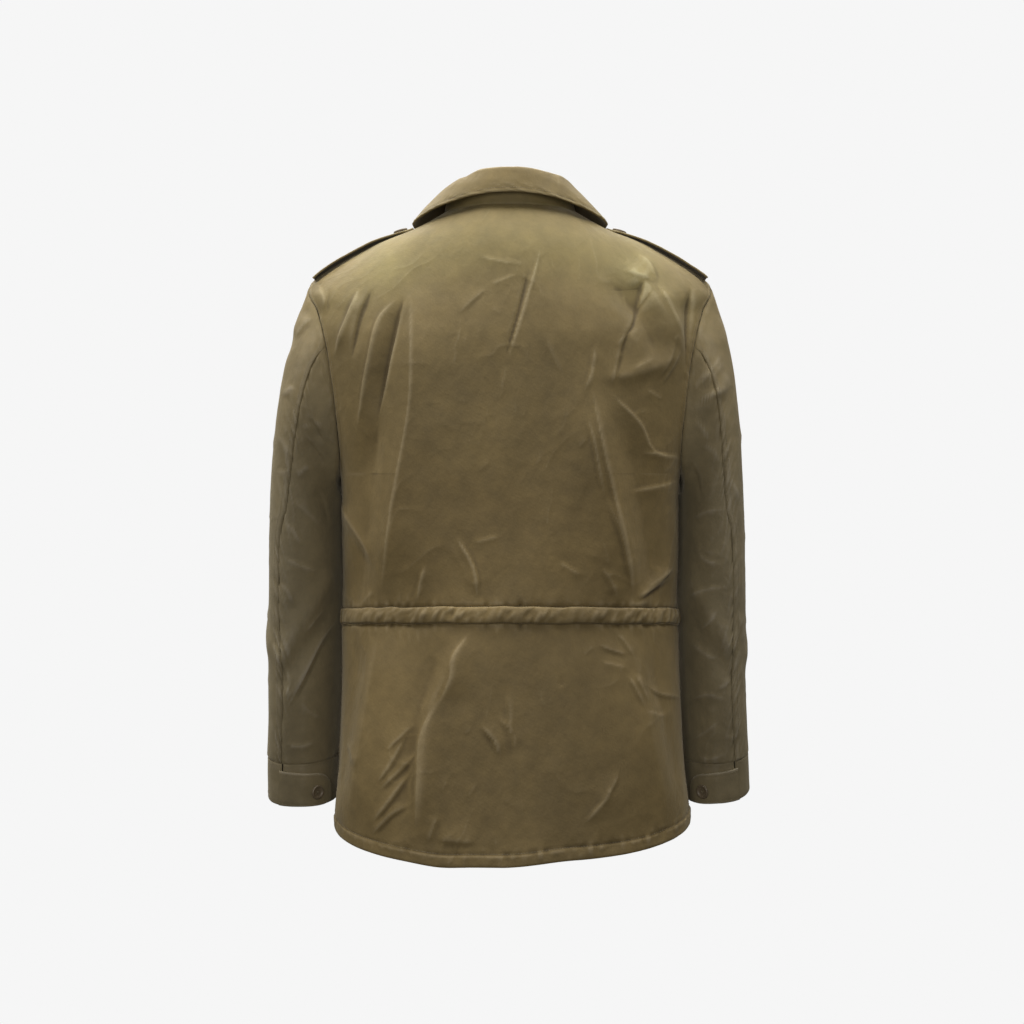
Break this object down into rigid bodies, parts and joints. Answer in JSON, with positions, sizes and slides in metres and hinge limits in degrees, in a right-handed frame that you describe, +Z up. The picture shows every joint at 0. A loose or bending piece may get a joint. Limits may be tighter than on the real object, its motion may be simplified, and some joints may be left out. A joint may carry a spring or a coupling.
{
  "type": "bush jacket",
  "caption": "Khaki-olive field jacket, hollow and filled out as worn, with turned-down collar, shoulder straps, stitched waist drawcord channel and buttoned cuff tabs.",
  "frame": {"origin": "centre of the neck at the height of the neck seam's back, where the wearer's shoulders carry the jacket", "axes": "+Z up, the front faces -Y, the back faces +Y, the wearer's left is +X"},
  "size_m": [0.5891, 0.2815, 0.8147],
  "materials": {
    "cloth": "heavy cotton sateen, khaki olive, slight sheen",
    "button": "semi-matt moulded plastic, olive brown"
  },
  "bodies": {
    "root": {"back": "cloth", "front_left": "cloth", "front_right": "cloth", "front_placket": "cloth", "sleeve_left_top": "cloth", "sleeve_left_under": "cloth", "sleeve_right_top": "cloth", "sleeve_right_under": "cloth", "cuff_left": "cloth", "cuff_right": "cloth", "cuff_tab_left": "cloth", "cuff_tab_right": "cloth", "collar_stand": "cloth", "collar_fall": "cloth", "shoulder_strap_left": "cloth", "shoulder_strap_right": "cloth", "waist_channel_back": "cloth", "waist_channel_front_left": "cloth", "waist_channel_front_right": "cloth", "cuff_button_left": "button", "cuff_button_right": "button", "strap_button_left": "button", "strap_button_right": "button", "front_button_1": "button", "front_button_2": "button", "front_button_3": "button", "front_button_4": "button", "front_button_5": "button"}
  },
  "joints": []
}
